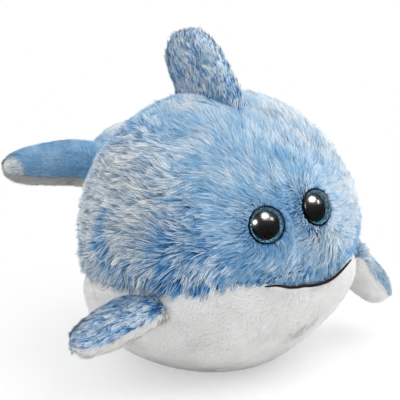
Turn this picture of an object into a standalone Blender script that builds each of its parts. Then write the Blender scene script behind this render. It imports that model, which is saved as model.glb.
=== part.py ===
"""A round plush dolphin: a ball-shaped soft toy that sits on a small flat spot.

The frame is +Z up, the dolphin looks along -Y and its own right side is at -X. The
origin is on the ground below the centre of the ball. Lengths are metres, angles degrees.
"""
import math

import bmesh
import bpy
from mathutils import Matrix, Vector

# The ball
BALL_RADIUS = 0.065
FOOT_RADIUS = 0.021
BELLY_FULLNESS = 2.65
BELLY_LEAN = 0.0100
FOOT_LEAN = 0.003
COVER_THICKNESS = 0.006
SEAM_TUCK = 0.0018
RIDGE_TUCK = 0.0010
TUCK_REACH = 0.0045

# Room that neighbouring pieces leave each other
CLEARANCE = 0.0003
STUFFING_CLEARANCE = 0.0016

# The seam between blue top and white belly: turn from the nose and latitude. A plus turn
# is to the dolphin's left. The mouth lies in the seam between its two raised corners.
SEAM_LINE = ((-180, -18.5), (-145, -19.5), (-115, -13.5), (-90, -8.5), (-60, -6.0),
             (-42, -4.4), (-25, -1.9), (-12, -2.2), (0, -4.2), (14, -4.8), (34, -2.4),
             (50, -4.8), (60, -6.0), (90, -8.5), (115, -13.5), (145, -19.5), (180, -18.5))

# The eyes
FACE_TURN = -0.3
EYE_TURN = 13.2
EYE_LATITUDE = 21.0
EYE_TILT = 1.4
EYE_RADIUS = 0.0083
EYE_SEAT_DEPTH = 0.0045
EYE_RIM = 0.0005
EYE_BACK_THICKNESS = 0.0010
EYE_DISC_THICKNESS = 0.0004
PUPIL_RADIUS = 0.0064
LENS_EDGE = 0.0005
LENS_RISE = 0.0045
STEM_RADIUS = 0.0018
STEM_TAIL = 0.0015
WASHER_RADIUS = 0.0065
WASHER_THICKNESS = 0.0014
WASHER_BORE_ROOM = 0.0002

# The mouth, a stitched cord that lies in the seam under the nose
MOUTH_MIDDLE = 8.7
MOUTH_TURN = 24.3
MOUTH_CORD_RADIUS = 0.00065
MOUTH_END_SHARE = 0.45

# Lobes are (span, low edge, high edge, half thickness) from root to tip
LOBE_COVER = 0.0022

# The dorsal fin: its span goes up from the top of the ball, its chord goes back
FIN_SET_BACK = 0.010
FIN_SECTIONS = ((-0.018, -0.0320, 0.0240, 0.0085),
                (-0.006, -0.0290, 0.0270, 0.0085),
                (0.001, -0.0265, 0.0315, 0.0082),
                (0.007, -0.0225, 0.0350, 0.0078),
                (0.013, -0.0160, 0.0335, 0.0074),
                (0.018, -0.0090, 0.0285, 0.0068),
                (0.0220, 0.0000, 0.0200, 0.0054),
                (0.0250, 0.0090, 0.0090, 0.0))

# The flippers: the span goes out from the seam, the chord goes forward
FLIPPER_TURN = 70.0
FLIPPER_BELOW_SEAM = 8.2
FLIPPER_HEADING = 99.0
FLIPPER_TWIST = 7.0
RIGHT_FLIPPER_DROOP = 23.0
LEFT_FLIPPER_DROOP = 47.0
FLIPPER_SECTIONS = ((-0.012, -0.0150, 0.0175, 0.0092),
                    (0.005, -0.0150, 0.0170, 0.0096),
                    (0.014, -0.0145, 0.0160, 0.0096),
                    (0.022, -0.0125, 0.0130, 0.0086),
                    (0.028, -0.0080, 0.0085, 0.0068),
                    (0.032, 0.0, 0.0, 0.0))

# The tail: a stalk that rises from the back of the ball, and flukes across its end
TAIL_LATITUDE = -6.0
TAIL_RISE = 30.5
TAIL_SWING = 5.0
TAIL_ROLL = 3.0
STALK_SECTIONS = ((-0.016, -0.0140, 0.0140, 0.0118),
                  (0.004, -0.0140, 0.0140, 0.0118),
                  (0.016, -0.0130, 0.0130, 0.0113),
                  (0.028, -0.0115, 0.0115, 0.0106),
                  (0.038, -0.0085, 0.0085, 0.0088),
                  (0.045, 0.0, 0.0, 0.0))
FLUKE_SECTIONS = ((0.0, 0.0230, 0.0470, 0.0122),
                  (0.005, 0.0245, 0.0495, 0.0122),
                  (0.014, 0.0300, 0.0525, 0.0122),
                  (0.027, 0.0350, 0.0535, 0.0115),
                  (0.039, 0.0400, 0.0535, 0.0098),
                  (0.046, 0.0435, 0.0520, 0.0064),
                  (0.0485, 0.0475, 0.0475, 0.0))

# Fineness of the meshes
BALL_SEGMENTS = 40
BALL_RINGS = 20
SEAM_RING = 11
RING_CROWDING = 1.35
LOBE_SIDES = 16
LOBE_STEPS = 2
TURNED_SIDES = 20
LENS_STEPS = 5
MOUTH_POINTS = 23

# Colours and finishes: base colour, roughness, metallic
FINISHES = {
    "blue_plush": ((0.26, 0.47, 0.72), 0.95, 0.0),
    "white_plush": ((0.86, 0.86, 0.85), 0.95, 0.0),
    "stuffing": ((0.90, 0.89, 0.86), 1.0, 0.0),
    "eye_lens": ((0.80, 0.90, 0.95), 0.05, 0.0),
    "eye_glitter": ((0.10, 0.45, 0.62), 0.30, 0.6),
    "eye_black": ((0.01, 0.01, 0.01), 0.20, 0.0),
    "washer_plastic": ((0.75, 0.76, 0.78), 0.50, 0.0),
    "mouth_thread": ((0.05, 0.03, 0.03), 0.85, 0.0),
}

FOOT_SHARE = (FOOT_RADIUS / BALL_RADIUS) ** BELLY_FULLNESS
CENTRE_HEIGHT = BALL_RADIUS * (1.0 - FOOT_SHARE) ** (1.0 / BELLY_FULLNESS)
CENTRE = Vector((0.0, 0.0, CENTRE_HEIGHT))


def clear_scene():
    for old in list(bpy.data.objects):
        bpy.data.objects.remove(old, do_unlink=True)


def new_collection(name):
    collection = bpy.data.collections.new(name)
    bpy.context.scene.collection.children.link(collection)
    return collection


def new_material(name, finish):
    colour, roughness, metallic = FINISHES[finish]
    material = bpy.data.materials.new(name)
    material.use_nodes = True
    shader = material.node_tree.nodes["Principled BSDF"]
    shader.inputs["Base Color"].default_value = (*colour, 1.0)
    shader.inputs["Roughness"].default_value = roughness
    shader.inputs["Metallic"].default_value = metallic
    material.diffuse_color = (*colour, 1.0)
    return material


def new_piece(name, mesh, finish, matrix=None):
    """A node of the toy, with its own material."""
    piece = bpy.data.objects.new(name, mesh)
    PARTS.objects.link(piece)
    if matrix is not None:
        piece.matrix_world = matrix
    piece.data.materials.append(new_material(name + "_finish", finish))
    return piece


def new_cutter(name, mesh, matrix=None):
    cutter = bpy.data.objects.new(name, mesh)
    CUTTERS.objects.link(cutter)
    if matrix is not None:
        cutter.matrix_world = matrix
    cutter.hide_render = True
    cutter.display_type = "WIRE"
    return cutter


def combine(piece, other, operation="DIFFERENCE"):
    modifier = piece.modifiers.new(operation.lower(), "BOOLEAN")
    modifier.operation = operation
    modifier.solver = "EXACT"
    modifier.object = other


def mesh_from(bm, name):
    mesh = bpy.data.meshes.new(name)
    bm.to_mesh(mesh)
    bm.free()
    mesh.shade_smooth()
    return mesh


def smooth_through(points, steps):
    """Catmull-Rom curve through the points, with that many steps between each two."""
    rows = [Vector(point) for point in points]
    first = rows[0] * 2.0 - rows[1]
    last = rows[-1] * 2.0 - rows[-2]
    padded = [first] + rows + [last]
    curve = []
    for index in range(1, len(padded) - 2):
        before, start, end, after = padded[index - 1:index + 3]
        for step in range(steps):
            t = step / steps
            bend = (before * -1.0 + start * 3.0 - end * 3.0 + after) * t ** 3
            lean = (before * 2.0 - start * 5.0 + end * 4.0 - after) * t ** 2
            curve.append(start + ((end - before) * t + lean + bend) * 0.5)
    curve.append(rows[-1])
    return curve


def seam_latitude(turn):
    """Latitude of the blue and white seam at a turn from the nose."""
    for (turn_a, latitude_a), (turn_b, latitude_b) in zip(SEAM_LINE, SEAM_LINE[1:]):
        if turn <= turn_b:
            share = (turn - turn_a) / (turn_b - turn_a)
            ease = share * share * (3.0 - 2.0 * share)
            return latitude_a + (latitude_b - latitude_a) * ease
    return SEAM_LINE[-1][1]


def tuck_depth(turn, latitude, inset):
    """How far the seams pull the surface of the ball in; deeper inside, the dent is wider."""
    reach = math.degrees((TUCK_REACH + max(inset, 0.0)) / BALL_RADIUS)
    to_seam = abs(latitude - seam_latitude(turn)) / reach
    depth = SEAM_TUCK * math.exp(-to_seam ** 2)
    if latitude > seam_latitude(turn):
        across = abs(math.sin(math.radians(turn))) * math.cos(math.radians(latitude))
        to_ridge = math.degrees(across) / reach
        depth += RIDGE_TUCK * math.exp(-to_ridge ** 2)
    return depth


def ball_point(turn, latitude, inset=0.0):
    """A point of the ball's surface; an inset lies inside it and a negative one outside."""
    turn_angle = math.radians(turn)
    latitude_angle = math.radians(latitude)
    radius = BALL_RADIUS - inset - tuck_depth(turn, latitude, inset)
    fullness = BELLY_FULLNESS if latitude < 0.0 else 2.0
    across = radius * math.cos(latitude_angle) ** (2.0 / fullness)
    rise = math.copysign(radius * abs(math.sin(latitude_angle)) ** (2.0 / fullness), latitude)
    down = min(max(-latitude / 90.0, 0.0), 1.0)
    lean = BELLY_LEAN * math.sin(math.pi * down) ** 2 + FOOT_LEAN * down ** 2
    height = max(CENTRE_HEIGHT + rise, inset)
    return Vector((across * math.sin(turn_angle), lean - across * math.cos(turn_angle), height))


def ring_latitude(turn, ring):
    """Rings crowd towards the seam ring, which follows the seam."""
    seam = seam_latitude(turn)
    if ring <= SEAM_RING:
        share = 1.0 - ring / SEAM_RING
        return seam + (90.0 - seam) * share ** RING_CROWDING
    share = (ring - SEAM_RING) / (BALL_RINGS - SEAM_RING)
    return seam - (90.0 + seam) * share ** RING_CROWDING


def ball_mesh(name, inset=0.0, part="whole"):
    """The ball's surface, whole or the patch that one of its covers is cut to."""
    bm = bmesh.new()
    bmesh.ops.create_uvsphere(bm, u_segments=BALL_SEGMENTS, v_segments=BALL_RINGS, radius=1.0)

    def belongs(face):
        centre = face.calc_center_median()
        above = math.degrees(math.acos(centre.normalized().z)) / 180.0 * BALL_RINGS < SEAM_RING
        return part == "whole" or above == (part == "top")

    strangers = [face for face in bm.faces if not belongs(face)]
    bmesh.ops.delete(bm, geom=strangers, context="FACES")
    seam_room = math.degrees(CLEARANCE / 2.0 / BALL_RADIUS)
    for vert in bm.verts:
        turn = math.degrees(math.atan2(vert.co.x, -vert.co.y))
        ring = math.degrees(math.acos(max(-1.0, min(1.0, vert.co.z)))) / 180.0 * BALL_RINGS
        on_seam = abs(ring - SEAM_RING) < 0.01
        latitude = ring_latitude(turn, ring)
        if on_seam and part == "belly":
            latitude -= seam_room
        if on_seam and part == "top":
            latitude += seam_room
        vert.co = ball_point(turn, latitude, inset)
    return mesh_from(bm, name)


def lobe_mesh(name, sections, inset=0.0, both_ends=False):
    """A stuffed lobe lofted through elliptical sections, with the span along X, the chord
    along Y and the thickness along Z. An inset leaves that much wall around it."""
    curve = smooth_through(sections, LOBE_STEPS)
    if both_ends:
        mirrored = [Vector((-row[0], row[1], row[2], row[3])) for row in reversed(curve[1:])]
        curve = mirrored + curve
    root = 0.0 if both_ends else curve[0][0]
    reach = curve[-1][0] - root
    widest = max((row[2] - row[1]) / 2.0 for row in curve)
    thickest = max(row[3] for row in curve)
    shrink = Vector((1.0 - inset / reach, 1.0 - inset / widest, 1.0 - inset / thickest))
    bm = bmesh.new()
    rings = []
    for span, low, high, half in curve:
        centre = (low + high) / 2.0
        chord = (high - low) / 2.0 * shrink.y
        place = root + (span - root) * shrink.x
        if chord < 1e-6:
            rings.append([bm.verts.new((place, centre, 0.0))])
            continue
        ring = []
        for side in range(LOBE_SIDES):
            angle = math.tau * (side + 0.5) / LOBE_SIDES
            ring.append(bm.verts.new((place, centre + chord * math.cos(angle),
                                      half * shrink.z * math.sin(angle))))
        rings.append(ring)
    for near, far in zip(rings, rings[1:]):
        for side in range(LOBE_SIDES):
            following = (side + 1) % LOBE_SIDES
            corners = [near[side % len(near)], near[following % len(near)],
                       far[following % len(far)], far[side % len(far)]]
            bm.faces.new(list(dict.fromkeys(corners)))
    if not both_ends:
        bm.faces.new(rings[0])
    bmesh.ops.recalc_face_normals(bm, faces=bm.faces)
    return mesh_from(bm, name)


def box_below(name, reach, matrix):
    """A cutter that takes away what lies below a frame's XY plane."""
    bm = bmesh.new()
    bmesh.ops.create_cube(bm, size=1.0)
    bmesh.ops.scale(bm, vec=(reach, reach, reach), verts=bm.verts)
    bmesh.ops.translate(bm, vec=(0.0, 0.0, CLEARANCE / 2.0 - reach / 2.0), verts=bm.verts)
    return new_cutter(name, mesh_from(bm, name), matrix)


def frame_from(origin, span, chord):
    """A frame with X along the span and Y as near to the chord as it can be."""
    x_axis = Vector(span).normalized()
    z_axis = x_axis.cross(Vector(chord)).normalized()
    y_axis = z_axis.cross(x_axis)
    frame = Matrix((x_axis, y_axis, z_axis)).transposed().to_4x4()
    frame.translation = origin
    return frame


def stuffed_lobe(name, faces, shapes, frame):
    """Two sewn panels and their stuffing. faces names the panels on the +Z and -Z sides,
    and their finishes; shapes lists the lofts that the lobe is united from."""
    size = 4.0 * BALL_RADIUS
    flip = Matrix.Rotation(math.pi, 4, "X")
    for (panel_name, finish), side in zip(faces, (frame, frame @ flip)):
        panel = new_piece(panel_name, shapes[0](panel_name, 0.0), finish, frame)
        for number, shape in enumerate(shapes[1:]):
            extra = new_cutter(f"{panel_name}_extra_{number}", shape(panel_name, 0.0), frame)
            combine(panel, extra, "UNION")
        combine(panel, box_below(panel_name + "_half", size, side))
        for number, shape in enumerate(shapes):
            room = new_cutter(f"{panel_name}_room_{number}", shape(panel_name, LOBE_COVER), frame)
            combine(panel, room)
        combine(panel, BODY_CUTTER)
    inner = LOBE_COVER + CLEARANCE
    stuffing = new_piece(name + "_stuffing", shapes[0](name, inner), "stuffing", frame)
    for number, shape in enumerate(shapes[1:]):
        extra = new_cutter(f"{name}_stuffing_extra_{number}", shape(name, inner), frame)
        combine(stuffing, extra, "UNION")
    combine(stuffing, BODY_CUTTER)


def eye_frame(side):
    """The frame of an eye: its origin on the pocket floor and its Z axis looking out."""
    direction = ball_direction(FACE_TURN + side * EYE_TURN, EYE_LATITUDE + side * EYE_TILT)
    frame = direction.to_track_quat("Z", "Y").to_matrix().to_4x4()
    frame.translation = CENTRE + direction * (BALL_RADIUS - EYE_SEAT_DEPTH)
    return frame


def ball_direction(turn, latitude):
    across = math.cos(math.radians(latitude))
    return Vector((across * math.sin(math.radians(turn)),
                   -across * math.cos(math.radians(turn)),
                   math.sin(math.radians(latitude))))


def turned(name, profile, finish, matrix, closed=False):
    """A profile of (radius, height) points turned about the frame's Z axis."""
    bm = bmesh.new()
    verts = [bm.verts.new((radius, 0.0, height)) for radius, height in profile]
    for start, end in zip(verts, verts[1:]):
        bm.edges.new((start, end))
    if closed:
        bm.edges.new((verts[-1], verts[0]))
    piece = new_piece(name, mesh_from(bm, name), finish, matrix)
    screw = piece.modifiers.new("turn", "SCREW")
    screw.axis = "Z"
    screw.steps = TURNED_SIDES
    screw.render_steps = TURNED_SIDES
    screw.use_merge_vertices = True
    screw.merge_threshold = 0.00001
    screw.use_smooth_shade = True
    return piece


def cylinder_cutter(name, radius, low, high, matrix):
    bm = bmesh.new()
    bmesh.ops.create_cone(bm, cap_ends=True, segments=TURNED_SIDES, radius1=radius,
                          radius2=radius, depth=high - low)
    bmesh.ops.translate(bm, vec=(0.0, 0.0, (low + high) / 2.0), verts=bm.verts)
    return new_cutter(name, mesh_from(bm, name), matrix)


def build_eye(side_name, side, cover, stuffing):
    frame = eye_frame(side)
    pocket = CLEARANCE + EYE_RADIUS
    seat = CLEARANCE
    back_top = seat + EYE_BACK_THICKNESS
    iris_low = back_top + CLEARANCE
    iris_top = iris_low + EYE_DISC_THICKNESS
    pupil_low = iris_top + CLEARANCE
    pupil_top = pupil_low + EYE_DISC_THICKNESS
    lens_low = pupil_top + CLEARANCE
    lens_edge_top = lens_low + LENS_EDGE
    inside = EYE_RADIUS - EYE_RIM - CLEARANCE
    cover_hollow = WASHER_RADIUS ** 2 / (2.0 * (BALL_RADIUS - COVER_THICKNESS))
    washer_top = EYE_SEAT_DEPTH - COVER_THICKNESS - cover_hollow - STUFFING_CLEARANCE
    washer_low = washer_top - WASHER_THICKNESS
    stem_low = washer_low - STEM_TAIL

    turned(side_name + "_eye_back",
           ((0.0, back_top), (EYE_RADIUS - EYE_RIM, back_top),
            (EYE_RADIUS - EYE_RIM, lens_edge_top), (EYE_RADIUS, lens_edge_top),
            (EYE_RADIUS, seat), (STEM_RADIUS, seat), (STEM_RADIUS, stem_low),
            (0.0, stem_low)), "eye_black", frame)
    turned(side_name + "_eye_iris",
           ((0.0, iris_top), (inside, iris_top), (inside, iris_low), (0.0, iris_low)),
           "eye_glitter", frame)
    turned(side_name + "_eye_pupil",
           ((0.0, pupil_top), (PUPIL_RADIUS, pupil_top), (PUPIL_RADIUS, pupil_low),
            (0.0, pupil_low)), "eye_black", frame)
    dome = []
    for step in range(LENS_STEPS + 1):
        angle = math.pi / 2.0 * step / LENS_STEPS
        dome.append((inside * math.sin(angle), lens_edge_top + LENS_RISE * math.cos(angle)))
    turned(side_name + "_eye_lens", (*dome, (inside, lens_low), (0.0, lens_low)),
           "eye_lens", frame)
    bore = STEM_RADIUS + WASHER_BORE_ROOM
    turned(side_name + "_eye_washer",
           ((bore, washer_top), (WASHER_RADIUS, washer_top), (WASHER_RADIUS, washer_low),
            (bore, washer_low)), "washer_plastic", frame, closed=True)

    far_out = BALL_RADIUS
    far_in = -BALL_RADIUS / 2.0
    combine(cover, cylinder_cutter(side_name + "_eye_pocket", pocket, 0.0, far_out, frame))
    combine(cover, cylinder_cutter(side_name + "_stem_hole", STEM_RADIUS + CLEARANCE, far_in,
                                   far_out, frame))
    combine(stuffing, cylinder_cutter(side_name + "_washer_room", WASHER_RADIUS + CLEARANCE,
                                      washer_low - CLEARANCE, far_out, frame))
    combine(stuffing, cylinder_cutter(side_name + "_stem_room", STEM_RADIUS + CLEARANCE,
                                      stem_low - CLEARANCE, far_out, frame))


def build_cover(name, part, finish):
    cover = new_piece(name, ball_mesh(name, 0.0, part), finish)
    solidify = cover.modifiers.new("pile_and_backing", "SOLIDIFY")
    solidify.thickness = COVER_THICKNESS
    solidify.offset = -1.0
    return cover


def build_body():
    left_cover = build_cover("left_side_cover", "top", "blue_plush")
    right_cover = build_cover("right_side_cover", "top", "blue_plush")
    towards_left = Matrix.Rotation(math.pi / 2.0, 4, "Y")
    towards_right = Matrix.Rotation(-math.pi / 2.0, 4, "Y")
    combine(left_cover, box_below("left_side_half", 4.0 * BALL_RADIUS, towards_left))
    combine(right_cover, box_below("right_side_half", 4.0 * BALL_RADIUS, towards_right))
    build_cover("belly_cover", "belly", "white_plush")
    inner = COVER_THICKNESS + STUFFING_CLEARANCE
    stuffing = new_piece("body_stuffing", ball_mesh("body_stuffing", inner), "stuffing")
    build_eye("left", 1.0, left_cover, stuffing)
    build_eye("right", -1.0, right_cover, stuffing)


def build_mouth():
    """A cord along the seam, thinner towards its ends."""
    curve = bpy.data.curves.new("mouth_stitching", "CURVE")
    curve.dimensions = "3D"
    curve.bevel_depth = MOUTH_CORD_RADIUS
    curve.bevel_resolution = 2
    curve.use_fill_caps = True
    line = curve.splines.new("POLY")
    line.points.add(MOUTH_POINTS - 1)
    lift = MOUTH_CORD_RADIUS + CLEARANCE
    for index, point in enumerate(line.points):
        share = 2.0 * index / (MOUTH_POINTS - 1) - 1.0
        turn = MOUTH_MIDDLE + MOUTH_TURN * share
        point.co = (*ball_point(turn, seam_latitude(turn), -lift), 1.0)
        point.radius = 1.0 - (1.0 - MOUTH_END_SHARE) * share ** 4
    new_piece("mouth_stitching", curve, "mouth_thread")


def build_dorsal_fin():
    origin = CENTRE + Vector((0.0, FIN_SET_BACK, BALL_RADIUS))
    frame = frame_from(origin, (0.0, 0.0, 1.0), (0.0, 1.0, 0.0))
    faces = (("dorsal_fin_right_panel", "blue_plush"), ("dorsal_fin_left_panel", "blue_plush"))
    stuffed_lobe("dorsal_fin", faces,
                 [lambda name, inset: lobe_mesh(name, FIN_SECTIONS, inset)], frame)


def build_flipper(side_name, side, droop):
    heading = math.radians(FLIPPER_HEADING)
    drop = math.radians(droop)
    span = Vector((side * math.sin(heading) * math.cos(drop),
                   -math.cos(heading) * math.cos(drop), -math.sin(drop)))
    turn = side * FLIPPER_TURN
    origin = ball_point(turn, seam_latitude(turn) - FLIPPER_BELOW_SEAM)
    frame = frame_from(origin, span, (0.0, -1.0, 0.0))
    frame = frame @ Matrix.Rotation(-side * math.radians(FLIPPER_TWIST), 4, "X")
    top = (side_name + "_flipper_top", "blue_plush")
    underside = (side_name + "_flipper_underside", "white_plush")
    faces = (top, underside) if frame.to_3x3().col[2].z > 0.0 else (underside, top)
    stuffed_lobe(side_name + "_flipper", faces,
                 [lambda name, inset: lobe_mesh(name, FLIPPER_SECTIONS, inset)], frame)


def build_tail():
    rise = math.radians(TAIL_RISE)
    origin = ball_point(180.0, TAIL_LATITUDE)
    origin.x = 0.0
    frame = frame_from(origin, (1.0, 0.0, 0.0), (0.0, math.cos(rise), math.sin(rise)))
    frame = frame @ Matrix.Rotation(-math.radians(TAIL_ROLL), 4, "Y")
    frame = Matrix.Rotation(math.radians(TAIL_SWING), 4, "Z") @ frame

    def flukes(name, inset):
        return lobe_mesh(name, FLUKE_SECTIONS, inset, both_ends=True)

    def stalk(name, inset):
        mesh = lobe_mesh(name, STALK_SECTIONS, inset)
        mesh.transform(Matrix.Rotation(math.pi / 2.0, 4, "Z"))
        return mesh

    faces = (("tail_top", "blue_plush"), ("tail_underside", "white_plush"))
    stuffed_lobe("tail", faces, [flukes, stalk], frame)


clear_scene()
PARTS = new_collection("round_plush_dolphin")
CUTTERS = new_collection("cutters")
BODY_CUTTER = new_cutter("body_room", ball_mesh("body_room", -CLEARANCE))
build_body()
build_mouth()
build_dorsal_fin()
build_flipper("right", -1.0, RIGHT_FLIPPER_DROOP)
build_flipper("left", 1.0, LEFT_FLIPPER_DROOP)
build_tail()
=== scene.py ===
"""Looks of the round plush dolphin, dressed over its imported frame.

The frame is +Z up, the dolphin looks along -Y and its own right side is at -X.
Lengths are metres. Angles are degrees where a name says turn, latitude, droop or heading.
"""
import math

import bmesh
import bpy
import numpy as np
from mathutils import Matrix, Vector
from mathutils.bvhtree import BVHTree
from mathutils.kdtree import KDTree


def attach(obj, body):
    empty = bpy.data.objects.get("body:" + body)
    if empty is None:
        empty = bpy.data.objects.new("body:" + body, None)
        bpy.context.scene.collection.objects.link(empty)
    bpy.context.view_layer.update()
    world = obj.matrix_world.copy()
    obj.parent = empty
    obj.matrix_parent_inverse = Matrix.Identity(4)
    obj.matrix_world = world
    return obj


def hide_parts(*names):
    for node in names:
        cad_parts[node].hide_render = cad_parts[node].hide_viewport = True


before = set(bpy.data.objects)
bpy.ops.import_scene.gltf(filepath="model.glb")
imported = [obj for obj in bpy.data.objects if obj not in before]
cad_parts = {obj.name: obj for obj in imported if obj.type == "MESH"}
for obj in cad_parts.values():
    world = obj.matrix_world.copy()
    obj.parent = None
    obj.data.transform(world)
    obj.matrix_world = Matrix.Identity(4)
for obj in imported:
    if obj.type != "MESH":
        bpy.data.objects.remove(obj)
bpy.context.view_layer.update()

# The ball and its seam, as in the frame
BALL_RADIUS = 0.065
FOOT_RADIUS = 0.021
BELLY_FULLNESS = 2.65
BELLY_LEAN = 0.010
FOOT_LEAN = 0.003
SEAM_TUCK = 0.0018
RIDGE_TUCK = 0.0010
TUCK_REACH = 0.0045
SEAM_LINE = np.array((
    (-180, -18.5), (-145, -19.5), (-115, -13.5), (-90, -8.5), (-60, -6.0), (-42, -4.4),
    (-25, -1.9), (-12, -2.2), (0, -4.2), (14, -4.8), (34, -2.4), (50, -4.8), (60, -6.0),
    (90, -8.5), (115, -13.5), (145, -19.5), (180, -18.5)))
FOOT_SHARE = (FOOT_RADIUS / BALL_RADIUS) ** BELLY_FULLNESS
CENTRE_HEIGHT = BALL_RADIUS * (1.0 - FOOT_SHARE) ** (1.0 / BELLY_FULLNESS)
CENTRE = np.array((0.0, 0.0, CENTRE_HEIGHT))

# The eyes, as in the frame
FACE_TURN = -0.3
EYE_TURN = 13.2
EYE_LATITUDE = 21.0
EYE_TILT = 1.4
EYE_RADIUS = 0.0083
EYE_SEAT_DEPTH = 0.0045
EYE_RIM = 0.0005
PUPIL_RADIUS = 0.0064
LENS_RISE = 0.0045
STEM_RADIUS = 0.0018

# Heights in an eye, above the bottom of its seat
STEM_LOW = -0.0044
CUP_LOW = 0.0003
CUP_BEVEL = 0.0006
CUP_FLOOR = 0.0013
BOWL_FLOOR = 0.0016
PUPIL_TOP = 0.0020
LENS_LOW = 0.0030
LENS_EDGE = 0.0035
RIM_ROUND = 0.00022
LENS_ROOM = 0.00005

# The mouth, as in the frame
MOUTH_MIDDLE = 8.7
MOUTH_TURN = 24.3
MOUTH_CORD_RADIUS = 0.00065
MOUTH_LIFT = 0.00095

# The lobes, as in the frame: (span, low edge, high edge, half thickness) from root to tip
FIN_SET_BACK = 0.010
FIN_SECTIONS = ((-0.018, -0.0320, 0.0240, 0.0085), (-0.006, -0.0290, 0.0270, 0.0085),
                (0.001, -0.0265, 0.0315, 0.0082), (0.007, -0.0225, 0.0350, 0.0078),
                (0.013, -0.0160, 0.0335, 0.0074), (0.018, -0.0090, 0.0285, 0.0068),
                (0.0220, 0.0000, 0.0200, 0.0054), (0.0250, 0.0090, 0.0090, 0.0))
FLIPPER_TURN = 70.0
FLIPPER_BELOW_SEAM = 8.2
FLIPPER_HEADING = 99.0
FLIPPER_TWIST = 7.0
RIGHT_FLIPPER_DROOP = 23.0
LEFT_FLIPPER_DROOP = 47.0
FLIPPER_SECTIONS = ((-0.012, -0.0150, 0.0175, 0.0092), (0.005, -0.0150, 0.0170, 0.0096),
                    (0.014, -0.0145, 0.0160, 0.0096), (0.022, -0.0125, 0.0130, 0.0086),
                    (0.028, -0.0080, 0.0085, 0.0068), (0.032, 0.0, 0.0, 0.0))
TAIL_LATITUDE = -6.0
TAIL_RISE = 30.5
TAIL_SWING = 5.0
TAIL_ROLL = 3.0
STALK_SECTIONS = ((-0.016, -0.0140, 0.0140, 0.0118), (0.004, -0.0140, 0.0140, 0.0118),
                  (0.016, -0.0130, 0.0130, 0.0113), (0.028, -0.0115, 0.0115, 0.0106),
                  (0.038, -0.0085, 0.0085, 0.0088), (0.045, 0.0, 0.0, 0.0))
FLUKE_SECTIONS = ((0.0, 0.0230, 0.0470, 0.0122), (0.005, 0.0245, 0.0495, 0.0122),
                  (0.014, 0.0300, 0.0525, 0.0122), (0.027, 0.0350, 0.0535, 0.0115),
                  (0.039, 0.0400, 0.0535, 0.0098),
                  (0.046, 0.0435, 0.0520, 0.0064), (0.0485, 0.0475, 0.0475, 0.0))

# The camera: where it stands from the ball's centre, and where that centre is in the picture
CAMERA_TURN = -33.0
CAMERA_RISE = 19.5
CAMERA_DISTANCE = 1.1
PICTURE_WIDTH = 400
PIXELS_PER_METRE = 2190.0
CENTRE_PIXEL = (220.5, 228.0)

# The fabric lies this far below the outline, and its pile fills the room above it
BODY_PILE = 0.0034
BELLY_PILE = 0.0013
LOBE_PILE = 0.0026
LIP_PILE = 0.0009
EYE_RAISE = 0.0025
SEAM_DIP = 0.0016
SKIN_THICKNESS = 0.0008


def unit(vectors):
    return vectors / np.maximum(np.linalg.norm(vectors, axis=-1, keepdims=True), 1e-12)


def ease(value, low, high):
    share = np.clip((value - low) / (high - low), 0.0, 1.0)
    return share * share * (3.0 - 2.0 * share)


def blend(share, none, full):
    return none + (full - none) * share


def waves(points, size, seed, count=9):
    """Smooth noise within about -1 to 1, whose patches are about that size."""
    draw = np.random.default_rng(seed)
    ways = unit(draw.normal(size=(count, 3)))
    pitch = math.tau / size * draw.uniform(0.6, 1.6, count)
    phase = draw.uniform(0.0, math.tau, count)
    return np.sin(points @ (ways * pitch[:, None]).T + phase).mean(axis=1) * 2.2


# The ball


def seam_latitude(turn):
    at = np.clip(np.searchsorted(SEAM_LINE[:, 0], turn), 1, len(SEAM_LINE) - 1)
    before, after = SEAM_LINE[at - 1], SEAM_LINE[at]
    share = ease(turn, before[..., 0], after[..., 0])
    return before[..., 1] + (after[..., 1] - before[..., 1]) * share


def ball_points(turn, latitude, inset):
    reach = np.degrees((TUCK_REACH + np.maximum(inset, 0.0)) / BALL_RADIUS)
    seam = seam_latitude(turn)
    depth = SEAM_TUCK * np.exp(-((latitude - seam) / reach) ** 2)
    across = np.abs(np.sin(np.radians(turn))) * np.cos(np.radians(latitude))
    ridge = RIDGE_TUCK * np.exp(-(np.degrees(across) / reach) ** 2)
    depth = depth + np.where(latitude > seam, ridge, 0.0)
    radius = BALL_RADIUS - inset - depth
    power = np.where(latitude < 0.0, 2.0 / BELLY_FULLNESS, 1.0)
    out = radius * np.abs(np.cos(np.radians(latitude))) ** power
    rise = np.sign(latitude) * radius * np.abs(np.sin(np.radians(latitude))) ** power
    down = np.clip(-latitude / 90.0, 0.0, 1.0)
    lean = BELLY_LEAN * np.sin(math.pi * down) ** 2 + FOOT_LEAN * down ** 2
    height = np.maximum(CENTRE_HEIGHT + rise, inset)
    return np.stack((out * np.sin(np.radians(turn)), lean - out * np.cos(np.radians(turn)),
                     height), axis=-1)


def ball_normals(turn, latitude, inset):
    step = 0.4
    along = ball_points(turn + step, latitude, inset) - ball_points(turn - step, latitude, inset)
    up = (ball_points(turn, np.minimum(latitude + step, 89.9), inset)
          - ball_points(turn, np.maximum(latitude - step, -89.9), inset))
    normals = unit(np.cross(along, up))
    outward = ball_points(turn, latitude, inset) - CENTRE
    return normals * np.sign((normals * outward).sum(axis=-1))[..., None]


def beside_mouth(turn):
    """0 along the mouth and 1 away from it."""
    return ease(np.abs(turn - MOUTH_MIDDLE), MOUTH_TURN - 7.0, MOUTH_TURN + 5.0)


def skin_inset(turn, latitude, pile):
    """The fabric dips where it is sewn to its neighbour, and comes up behind the mouth."""
    to_seam = np.radians(latitude - seam_latitude(turn)) * BALL_RADIUS
    lip = (1.0 - beside_mouth(turn)) * np.exp(-(to_seam / 0.006) ** 2)
    dip = pile + SEAM_DIP * np.exp(-(to_seam / 0.0025) ** 2)
    return dip + (LIP_PILE - dip) * lip


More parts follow.
